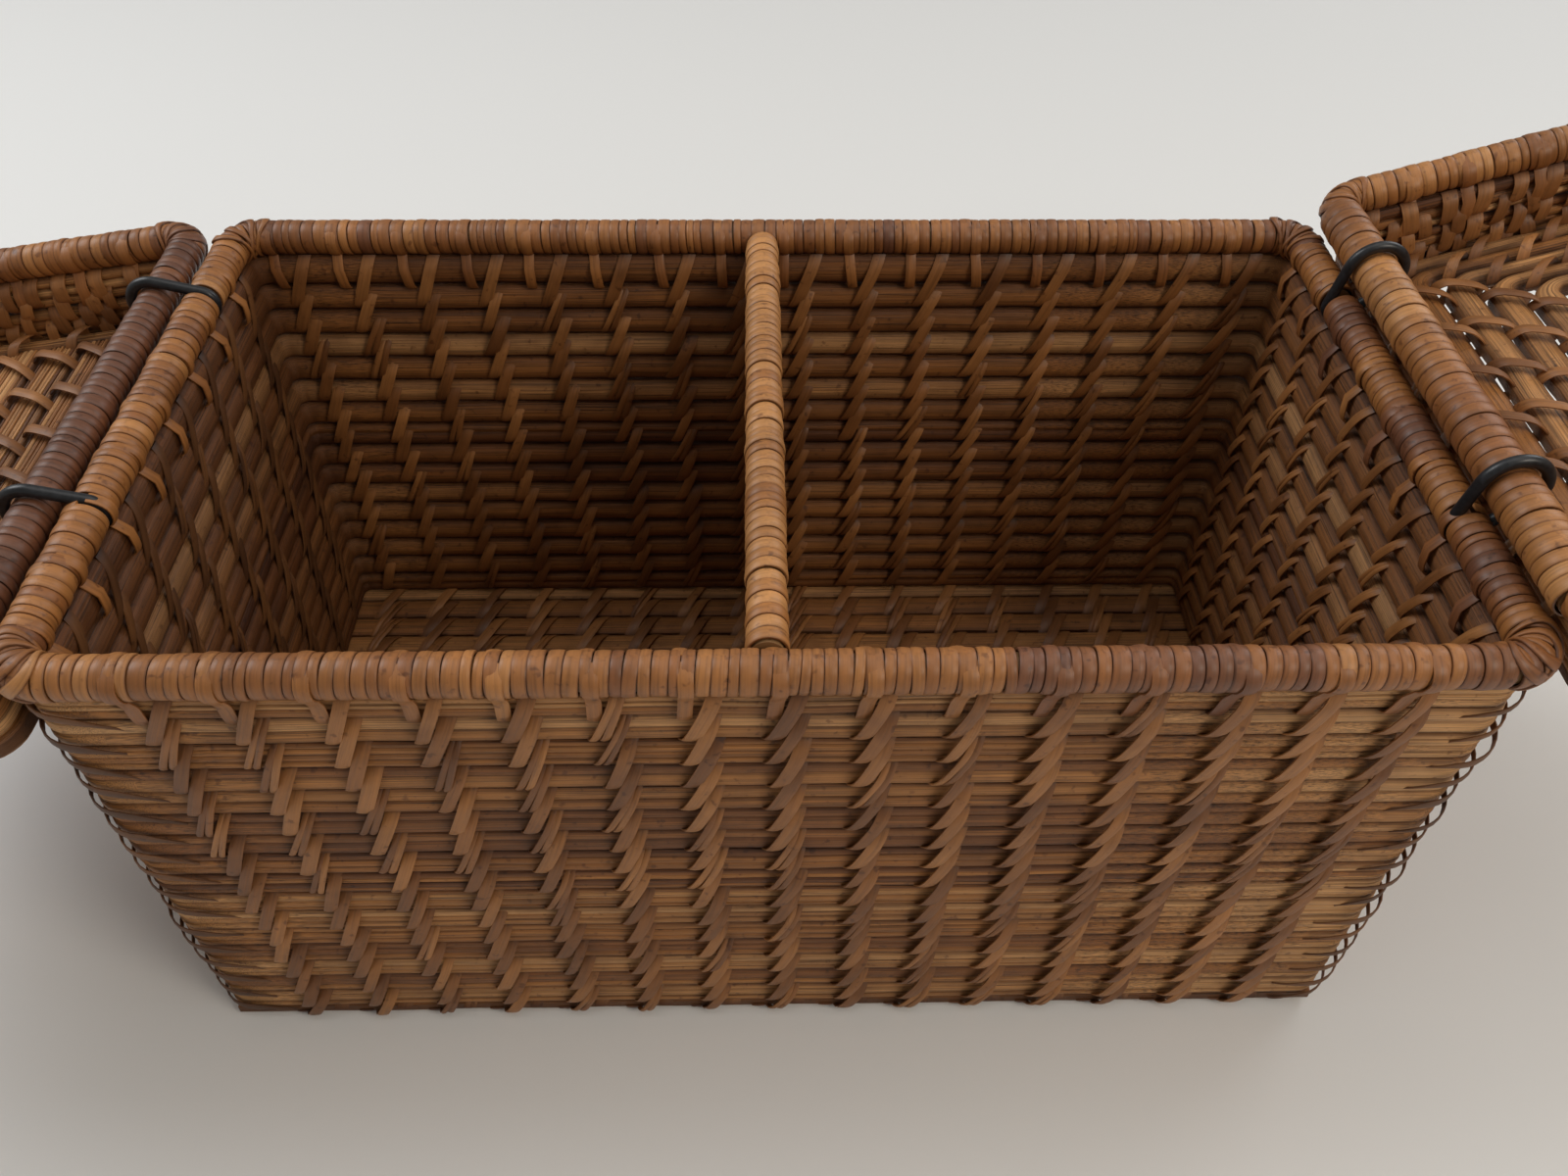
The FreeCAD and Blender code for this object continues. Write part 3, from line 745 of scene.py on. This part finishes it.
def basket_walls():
    wall = BASKET_WALL
    loop = wall.loop
    rows = Strips()
    s = stations(loop)
    x, _, _, ny = loop.at(s)
    # Painted shade on the inner sides of the left and right walls' rows.
    painted_shade = 0.8 * (x < 10 - HALF_X) + 0.3 * (x > HALF_X - 10)
    # Painted light: lighter rows towards the right end, and a little towards the left end, on the front and
    # back.
    right_end_light = np.clip((x - HALF_X + 70) / 55, 0, 1)
    left_end_light = np.clip((-x - HALF_X + 35) / 30, 0, 1)
    lift = (0.4 * right_end_light + 0.1 * left_end_light) * np.abs(ny)
    for k in range(WALL_ROWS):
        tuck = TUCK if k == 0 else 0.0
        splints = (int(rng.choice((2, 2, 3, 3, 4))), int(rng.choice((1, 1, 1, 2))))
        row(rows, wall, s, (k + 0.5) * PITCH - tuck / 2, 100 + 7 * k, True, loop.length, painted_shade=painted_shade, lift=lift,
            height=PITCH * 0.985 + tuck, splints=splints, crowns=(0.22, 0.3), swells=(0.22, 0.7))
    replaced = [f"basket_{face}_wall" for face in ("front", "back", "left", "right")]
    rows.build("basket_rows", SPLINT, "basket", replaced + ["basket_wall_corners"])
    sides = four_sides(loop, HALF_X, HALF_Y, FRONT_SHIFT)
    for (face, (cane, rise, width)), (middle, half) in zip(INSIDE_LOOKS.items(), sides):
        outside = Strips()
        for s in columns(middle, half - CORNER_CLEAR):
            stitch_column(outside, wall, s, WALL_ROWS + 1, PITCH, 1.0, 6.8, 1.75, width=3.3,
                          limit=WALL_HIGH[2] - 0.6)
        outside.build(f"{face}_wall_stitches", STITCH, "basket")
        inside = Strips()
        for s in columns(middle, half - INSIDE_CLEAR):
            stroke(inside, wall, s, -0.1 * PITCH, -1.0, -6.4, rise, 2.0 * PITCH, width)
            stitch_column(inside, wall, s - 1.0, WALL_ROWS - 1, PITCH, -1.0, -6.2, rise, width=width,
                          span=1.75, start=1.15)
        inside.build(f"{face}_wall_inner_stitches", cane, "basket")
    feathers = Strips()
    for start, (toward, bow, strands, reach) in zip(corner_starts(loop), CORNER_LOOKS):
        corner_feathers(feathers, wall, start + loop.arc / 2, toward, bow, strands, reach)
    feathers.build("upright_corner_strips", DARK_AND_SHADED_STITCH, "basket")


def basket_base():
    sheet = Sheet(Place(), -HALF_Y, (BASE_LOW[2] + BASE_HIGH[2]) / 2 + 0.3)
    belly = BELLY - 0.5
    rows = Strips()
    pitch = 2 * HALF_Y / BASE_ROWS
    for k in range(BASE_ROWS):
        inset = 2.4 if k in (0, BASE_ROWS - 1) else 0.8
        straight_row(rows, sheet, -HALF_X + inset, HALF_X - inset, (k + 0.5) * pitch, 300 + 5 * k,
                     splints=(1, 2), belly=belly, crowns=(0.5, 0.2))
    rows.build("base_rows", SPLINT, "basket", ["basket_base"])
    for name, face in (("base_top_stitches", 1.0), ("base_under_stitches", -1.0)):
        strips = Strips()
        for s in columns(0.0, HALF_X - INSIDE_CLEAR):
            stitch_column(strips, sheet, s, BASE_ROWS, pitch, face, 8.0 * face, 1.0 if face > 0 else -0.2,
                          belly=belly)
        strips.build(name, STITCH, "basket")


def divider():
    low, high = corners("divider_panel")
    belly = (high[0] - low[0]) / 2
    middle = (low[0] + high[0]) / 2
    place = Place((middle, 0, high[2]), (0, 1, 0), (0, 0, -1))
    sheet = Sheet(place, 0.0, 0.0)
    rows = Strips()
    pitch = (high[2] - low[2]) / WALL_ROWS
    for k in range(WALL_ROWS):
        straight_row(rows, sheet, low[1], high[1], (k + 0.5) * pitch, 500 + 5 * k, belly=belly,
                     splints=(2, 2), crowns=(0.3, 0.3))
    rows.build("divider_rows", SPLINT, "basket", ["divider_panel"])
    strips = Strips()
    for face in (1.0, -1.0):
        for s in columns(0.0, high[1] - 12):
            stitch_column(strips, sheet, s, WALL_ROWS, pitch, face, 8.0 * face, 0.8, width=3.2, belly=belly)
    strips.build("divider_stitches", STITCH, "basket")
    rod = Rod(Place((middle, 0, RIM_Z), (0, -1, 0), (1, 0, 0)), RIM_HALF_Y - PIPE - 0.2,
              radius_of("divider_winding"), 0.92, widths=(2.4, 3.6), swell=0.14, lean=-0.5)
    rod.wind("divider_cane", "basket", "divider_winding", 61)


def frame_of_rods(name, body, place, half_x, half_y, rods, corner_tones, replaced_corners, seed):
    """The wound rods of a rim with their corners. rods gives each side's node and settings."""
    spots = {"front": ((0, -half_y, 0), (1, 0, 0), (0, 1, 0), half_x),
             "back": ((0, half_y, 0), (-1, 0, 0), (0, -1, 0), half_x),
             "right": ((half_x, 0, 0), (0, 1, 0), (-1, 0, 0), half_y),
             "left": ((-half_x, 0, 0), (0, -1, 0), (1, 0, 0), half_y)}
    for k, (side, (node, settings)) in enumerate(rods.items()):
        spot, x, y, half = spots[side]
        rod_place = Place(place.at(spot), place.turned(x), place.turned(y))
        rod = Rod(rod_place, half - ROD_CORNER, **{"radius": PIPE, **settings})
        rod.wind(f"{name}_{side}_cane", body, node, seed + k)
    fans = Strips()
    for k, (sx, sy) in enumerate(((1, 1), (-1, 1), (-1, -1), (1, -1))):
        angle = k * math.pi / 2
        x = (math.cos(angle), math.sin(angle), 0)
        y = (-math.sin(angle), math.cos(angle), 0)
        middle = place.at((sx * (half_x - ROD_CORNER), sy * (half_y - ROD_CORNER), 0.0))
        elbow_fan(fans, Place(middle, place.turned(x), place.turned(y)), corner_tones[k], seed + 40 + k)
    fans.build(f"{name}_corner_cane", WINDING, body, [replaced_corners])


def ring_places(side):
    """Where a side's two rings are along y."""
    return [centre(f"{side}_{end}_ring")[1] for end in ("front", "back")]


def rim_tone(x, y):
    """Tone of the rim's cane at a place: mauve on the right and on the right of the front."""
    if abs(y) > HALF_Y - 2 * PIPE:
        return 0.53 if y > 0 else 0.62 if x < 44 else 0.30 if x < 105 else 0.48
    return 0.42 + 0.28 * math.sin(y / 7) if x > 0 else 0.62


def basket_rim():
    rods = {
        "front": ("basket_front_winding", {"tone": lambda x: rim_tone(x, -RIM_HALF_Y)}),
        "back": ("basket_back_winding", {"tone": lambda x: rim_tone(-x, RIM_HALF_Y)}),
        "right": ("basket_right_winding", {"tone": lambda x: rim_tone(RIM_HALF_X, x), "mottle": 0.06,
                                           "gaps": ring_places("right")}),
        "left": ("basket_left_winding", {"tone": lambda x: rim_tone(-RIM_HALF_X, -x),
                                         "gaps": [-y for y in ring_places("left")]}),
    }
    frame_of_rods("rim", "basket", Place((0, 0, RIM_Z)), RIM_HALF_X, RIM_HALF_Y, rods,
                  (0.35, 0.5, 0.58, 0.4), "basket_corner_lashings", 20)


def rim_tabs():
    """Turns of the rim whose ends go down over the first row, outside and inside."""
    wall = BASKET_WALL
    pipe_n = RIM_HALF_Y - (HALF_Y - BELLY)
    pipe_t = WALL_HIGH[2] - RIM_Z
    inner = Inside(wall)
    strips = Strips()

    def tint(s):
        x, y, _, _ = wall.loop.at(s)
        return float(np.clip(rim_tone(x, y) + rng.normal(0, 0.06), 0, 1))

    for middle, half in four_sides(wall.loop, HALF_X, HALF_Y, FRONT_SHIFT):
        for s in columns(middle, half - CORNER_CLEAR):
            lean = 1.4 - 2.4 * (s - middle) / half
            tab(strips, wall, s + 2.3 - 0.6 * lean, lean, pipe_n, pipe_t, PIPE, tint(s), width=3.1)
        for s in columns(middle, half - INSIDE_CLEAR):
            tab(strips, inner, s - 6.0, 1.0 + rng.normal(0, 0.6), -pipe_n, pipe_t, PIPE, tint(s), width=2.8)
    strips.build("rim_tabs", WINDING, "basket")


# ---- the lids ----

class LidFrame:
    """Where a lid is. middle is between its hinge rod and its free rod: x there goes to the free
    edge, and z out of the tray."""

    def __init__(self, side):
        self.side = side
        self.sign = 1 if side == "right" else -1
        hinge = np.array(JOINTS[f"{side}_lid_turn"]["pos_m"]) / MM
        reach = centre(f"{side}_lid_free_rod") - hinge
        length = float(np.linalg.norm(reach))
        self.middle = Place(hinge + reach / 2, reach / length, (0, self.sign, 0))
        self.half_x, self.half_y = length / 2, RIM_HALF_Y
        self.hinge_radius = radius_of(f"{side}_lid_hinge_winding", axis=0)
        self.top = -PIPE - 0.1


LID_LOOKS = {
    "left": {"pitch": 12.2, "rounds": 1, "squeeze": 0.5, "rod_width": 0.9,
             "shape": {"splints": (8, 3), "crowns": (0.25, 0.2), "swells": (0.35, 0.2), "tones": (0.5, 0.75)},
             "hinge": 0.1, "hinge_widths": (2.3, 3.6),
             "front": 0.6, "back": 0.62, "free": 0.6,
             "corners": (0.6, 0.4, 0.4, 0.6)},
    "right": {"pitch": 9.15, "rounds": 7, "squeeze": 0.6, "rod_width": 0.86,
              "shape": {"splints": (1, 2), "crowns": (0.5, 0.2), "swells": (0.6, 0.2), "tones": (0.75, 1.0)},
              "hinge": lambda x: 0.66 + 0.24 * math.cos((x + 30) / 16),
              "hinge_widths": (3.0, 4.6), "front": 0.72, "back": 0.78,
              "free": 0.72, "corners": (0.7, 0.55, 0.55, 0.7)},
}


def lid(side):
    here = LidFrame(side)
    looks = LID_LOOKS[side]
    body = f"{side}_lid"
    half_x, half_y = here.half_x + 0.5, here.half_y + 0.5
    wall = Wall(here.middle, half_x, half_y, here.top)
    loop = wall.loop
    rows = Strips()
    for k in range(LID_ROWS):
        tuck = TUCK if k == 0 else 0.0
        row(rows, wall, stations(loop), (k + 0.5) * PITCH - tuck / 2, 700 + 9 * k + 50 * here.sign, True,
            loop.length, height=PITCH * 0.96 + tuck, splints=(3, 3), tones=(0.6, 0.8))
    replaced = [f"{body}_{edge}_wall" for edge in ("hinge", "front", "back", "free")]
    rows.build(f"{side}_lid_wall_rows", SPLINT, body, replaced + [f"{body}_wall_corners"])
    strips = Strips()
    for middle, half in four_sides(loop, half_x, half_y):
        for s in columns(middle, half - INSIDE_CLEAR):
            stitch_column(strips, wall, s, LID_ROWS + 1, PITCH, 1.0, 8.0, 1.3, limit=2 * PITCH + 4.5)
        short_strokes(strips, wall, middle, half - 10)
    strips.build(f"{side}_lid_wall_stitches", STITCH, body)
    lid_tabs(here, wall)
    lid_panel(here, looks, half_x, half_y)
    lid_rods(here, looks)


class PanelPlan:
    """The rows of a lid's panel: some go round, the rest lie straight along the hinge."""

    def __init__(self, looks, half_x, half_y):
        self.half_x, self.half_y = half_x, half_y
        self.pitch, self.rounds, self.squeeze = looks["pitch"], looks["rounds"], looks["squeeze"]
        self.straight = round(2 * (half_x - self.edge(self.rounds + 1)) / self.pitch)

    def edge(self, k, across=1.0):
        """How far in from the panel's edge row k starts; across is squeeze beside the sides."""
        return 0.0 if k == 0 else LID_WALL + (k - 1) * self.pitch * across


def short_strokes(mesh, wall, middle, half):
    """Short upright strokes inside a lid's wall, each over about one row, at uneven places."""
    for k in range(2 * LID_ROWS):
        for s in np.arange(middle - half, middle + half, 9.5):
            stroke(mesh, wall, s + rng.normal(0, 1.4) + 4.7 * (k % 2), (0.5 * k - 0.1) * PITCH, -1.0,
                   rng.normal(-1.0, 1.6), 0.8 + 0.5 * rng.random(), PITCH * rng.uniform(0.9, 1.25),
                   rng.uniform(3.2, 4.4))


def lid_tabs(here, wall):
    """Ends of the rim's turns that hang hooked over the wall's first row, inside and outside."""
    pipe_n = here.half_y - wall.loop.half_y
    front, _, back, free = four_sides(wall.loop, here.half_x, here.half_y)
    strips = Strips()
    for surface, side in ((wall, 1), (Inside(wall), -1)):
        facing_other_lid = PIPE - 0.45 if side > 0 else PIPE
        for (middle, half), radius in ((front, PIPE), (free, facing_other_lid), (back, PIPE)):
            for s in columns(middle, half - 12):
                tint = float(np.clip(rng.normal(0.55, 0.12), 0, 1))
                tab(strips, surface, s + rng.normal(0, 1.5), rng.normal(0, 0.8), side * pipe_n, here.top,
                    radius, tint, width=3.4, hook=2.5 * side)
    strips.build(f"{here.side}_lid_rim_tabs", WINDING, f"{here.side}_lid")


def lid_panel(here, looks, half_x, half_y):
    body = f"{here.side}_lid"
    middle_z = here.top - LID_ROWS * PITCH - BELLY
    plan = PanelPlan(looks, half_x, half_y)
    pitch, squeeze = plan.pitch, plan.squeeze
    shape = {"belly": BELLY - 0.1, **looks["shape"]}
    rods = Strips()
    for k in range(plan.rounds + 1):
        width_x = pitch if k else LID_WALL
        width_y = pitch * squeeze if k else LID_WALL
        x = half_x - plan.edge(k) - width_x / 2
        y = half_y - plan.edge(k, squeeze) - width_y / 2
        flat = FlatLoop(here.middle, x, y, middle_z, 5.0)
        s = stations(flat.loop)
        _, _, _, ny = flat.loop.at(s)
        scales = 1 + (width_y / width_x - 1) * np.abs(ny)
        row(rods, flat, s, 0.0, 900 + 11 * k + 60 * here.sign, True, flat.loop.length,
            height=width_x * looks["rod_width"], wobble=0.35, scales=scales, **shape)
    inset = plan.edge(plan.rounds + 1)
    reach = half_y - plan.edge(plan.rounds + 1, squeeze)
    sheet = Sheet(here.middle, inset - half_x, middle_z, turned=True)
    width = 2 * (half_x - inset) / plan.straight
    for k in range(plan.straight):
        straight_row(rods, sheet, -reach, reach, (k + 0.5) * width, 980 + 13 * k + 60 * here.sign,
                     height=width * looks["rod_width"], wobble=0.35, **shape)
    rods.build(f"{here.side}_lid_panel_rows", SPLINT, body, [f"{body}_panel"])
    for face, name in ((1.0, "inner"), (-1.0, "outer")):
        strips = Strips()
        panel_stitches(strips, here, plan, middle_z, face)
        strips.build(f"{here.side}_lid_{name}_stitches", STITCH, body)


def panel_stitches(strips, here, plan, middle_z, face):
    """Strokes over the rows of a panel, in columns that run across the rows."""
    rise = 2.4 if face > 0 else 0.6
    for quarter in range(4):
        coil = Coil(here.middle, plan.half_x, plan.half_y, middle_z, quarter)
        beside = quarter % 2 == 0
        across = plan.squeeze if beside else 1.0
        rows = plan.rounds + 1 + (0 if beside else math.ceil(plan.straight / 2))
        for k in range(rows):
            low, high = plan.edge(k, across), plan.edge(k + 1, across)
            run = plan.half_x - plan.edge(k + 1) if beside else plan.half_y - plan.edge(k + 1, plan.squeeze)
            if not beside:
                run = max(run, plan.half_y - plan.edge(plan.rounds + 1, plan.squeeze))
                high = min(high, plan.half_x + 1.0)
            for s in columns(0.0, run - 4):
                slant = -4.4 * face * across ** 0.5 + rng.normal(0, 0.7)
                over = 0.15 * (high - low) if k else 0.0
                stroke(strips, coil, s + 2 + rng.normal(0, 0.6), low - over, face, 2 * slant,
                       rise + rng.normal(0, 0.25), (high - low) * 1.15 + over + 0.5, 3.3, belly=BELLY)


def lid_rods(here, looks):
    body = f"{here.side}_lid"
    rings = [here.sign * y for y in ring_places(here.side)]
    near, far = ("front", "back")[::here.sign]
    rods = {
        "front": (f"{body}_{near}_winding", {"tone": looks["front"]}),
        "back": (f"{body}_{far}_winding", {"tone": looks["back"]}),
        "right": (f"{body}_free_winding", {"tone": looks["free"]}),
        "left": (f"{body}_hinge_winding", {"radius": here.hinge_radius, "tone": looks["hinge"],
                                           "widths": looks["hinge_widths"], "mottle": 0.06,
                                           "quiet": [-y for y in rings]}),
    }
    frame_of_rods(body, body, here.middle, here.half_x, here.half_y, rods, looks["corners"],
                  f"{body}_corner_lashings", 120 + 30 * here.sign)


def carried_over():
    """Materials of the CAD nodes that stay: bare rods in the windings, and the plastic rings."""
    for name, node in frame["nodes"].items():
        if name.endswith(("_rod", "_rod_corners")):
            material = ROD
        elif name.endswith("_ring"):
            material = PLASTIC
        else:
            continue
        for slot in node.material_slots:
            slot.material = material
        if not node.material_slots:
            node.data.materials.append(material)


carried_over()
basket_walls()
basket_base()
divider()
basket_rim()
rim_tabs()
for lid_side in ("left", "right"):
    lid(lid_side)


# ---- floor, light and camera ----

EYE = (-4.9, -154.2 - RIM_HALF_Y, 330.4)
YAW, DIP, ROLL = 0.030, 0.809, -0.015       # to the right, down, and round the line of sight
LENS = 28.476


def stage_floor():
    material, add, link = node_tools("floor")
    shader = add("ShaderNodeBsdfPrincipled", Roughness=0.6)
    shader.inputs["Base Color"].default_value = (0.84, 0.84, 0.83, 1)
    link(shader.outputs[0], add("ShaderNodeOutputMaterial").inputs[0])
    bpy.ops.mesh.primitive_plane_add(size=6.0, location=(0, 0, -0.0004))
    floor = bpy.context.object
    floor.name = "floor"
    floor.data.materials.append(material)


def area_light(name, place, target, size, power, colour):
    data = bpy.data.lights.new(name, "AREA")
    data.shape, data.size, data.energy, data.color = "DISK", size, power, colour
    light = bpy.data.objects.new(name, data)
    bpy.context.scene.collection.objects.link(light)
    direction = Vector(target) - Vector(place)
    light.location = place
    light.rotation_euler = direction.to_track_quat("-Z", "Y").to_euler()


def stage_camera():
    """The viewpoint: above the front rim, looking down into the basket."""
    data = bpy.data.cameras.new("camera")
    data.sensor_width = 36.0
    data.lens = LENS
    data.clip_start = 0.01
    camera = bpy.data.objects.new("camera", data)
    bpy.context.scene.collection.objects.link(camera)
    turn = Matrix.Rotation(-YAW, 4, "Z") @ Matrix.Rotation(math.pi / 2 - DIP, 4, "X") @ \
        Matrix.Rotation(-ROLL, 4, "Z")
    camera.matrix_world = Matrix.Translation(Vector(EYE) * MM) @ turn
    bpy.context.scene.camera = camera


def stage_world():
    world = bpy.data.worlds.new("world")
    bpy.context.scene.world = world
    world.use_nodes = True
    background = world.node_tree.nodes["Background"]
    background.inputs[0].default_value = (0.95, 0.92, 0.87, 1)
    background.inputs[1].default_value = 0.27


stage_floor()
stage_world()
area_light("front_window", (0.56, -0.50, 0.75), (0.06, 0, 0.08), 0.35, 2.5, (1.0, 0.90, 0.77))
area_light("back_window", (1.1, 0.9, 0.9), (0.1, 0, 0), 0.8, 4.6, (0.96, 0.98, 1.0))
area_light("left_window", (-1.0, 0.4, 1.0), (0.1, 0, 0), 0.8, 8.2, (0.96, 0.98, 1.0))
area_light("ceiling", (0.2, 0.1, 1.5), (0, 0, 0), 1.4, 5.2, (1.0, 0.97, 0.93))
stage_camera()
bpy.context.scene.view_settings.view_transform = "Standard"
